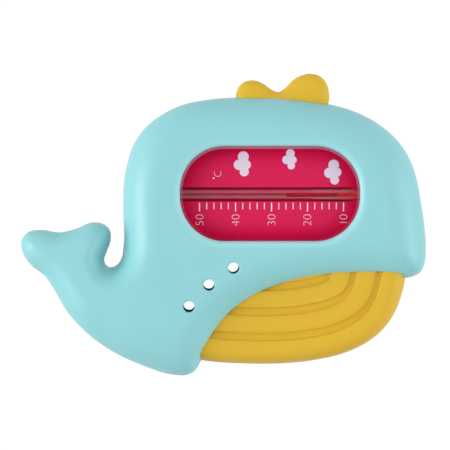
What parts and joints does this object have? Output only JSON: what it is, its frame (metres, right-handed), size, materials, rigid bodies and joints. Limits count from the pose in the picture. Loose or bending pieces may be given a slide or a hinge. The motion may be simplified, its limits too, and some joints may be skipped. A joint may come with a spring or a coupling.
{
  "type": "baby bath thermometer",
  "caption": "Floating bath thermometer in the shape of a whale: hollow moulded shells with a window over a liquid-in-glass tube and its scale, a ribbed belly and a spout.",
  "frame": {"origin": "middle of the bounding box's base: the thermometer lies on its flat back, and z = 0 is the back of the rear shell", "axes": "+X from the tail to the head, +Y to the spout, +Z out of the side with the window and the scale"},
  "size_m": [0.125, 0.093, 0.024],
  "materials": {
    "turquoise_moulding": "satin",
    "yellow_moulding": "satin",
    "clear_window": "clear, polished",
    "red_plate": "satin",
    "tube_glass": "clear, polished",
    "red_spirit": "dyed liquid"
  },
  "bodies": {
    "root": {"front_shell": "turquoise_moulding", "rear_shell": "turquoise_moulding", "belly_front": "yellow_moulding", "belly_rear": "yellow_moulding", "spout": "yellow_moulding", "window_lens": "clear_window", "scale_plate": "red_plate", "glass_tube": "tube_glass", "spirit_column": "red_spirit"}
  },
  "joints": []
}
